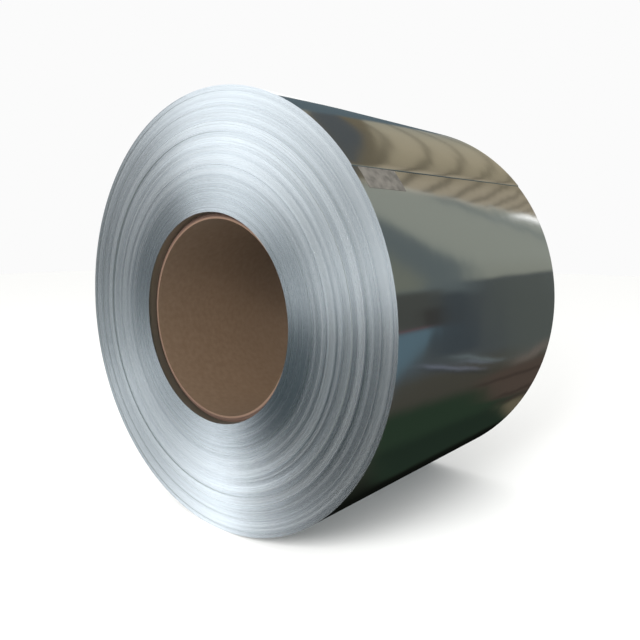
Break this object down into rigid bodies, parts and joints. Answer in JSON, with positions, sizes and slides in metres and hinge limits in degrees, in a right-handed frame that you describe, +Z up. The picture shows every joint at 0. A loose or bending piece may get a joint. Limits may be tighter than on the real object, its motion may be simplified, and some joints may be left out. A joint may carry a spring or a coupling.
{
  "type": "steel coil",
  "caption": "Coil of bright steel strip lying on its side, wound on a recessed paperboard sleeve, with stepped bands of turns on both ends.",
  "frame": {"origin": "on the floor under the middle of the coil's length, below its axis", "axes": "+Z up, +Y along the coil's axis from the near end to the far end, +X to the side that shows the strip's outer end"},
  "size_m": [1.347, 1.005, 1.3486],
  "materials": {
    "bright_steel": "cold rolled, bright on the last turn and slit-edge satin on the ends",
    "paperboard": "spirally wound kraft board",
    "ticket_paper": "worn uncoated paper, blank"
  },
  "bodies": {
    "root": {"steel_coil": "bright_steel", "core_tube": "paperboard", "paper_ticket": "ticket_paper"}
  },
  "joints": []
}
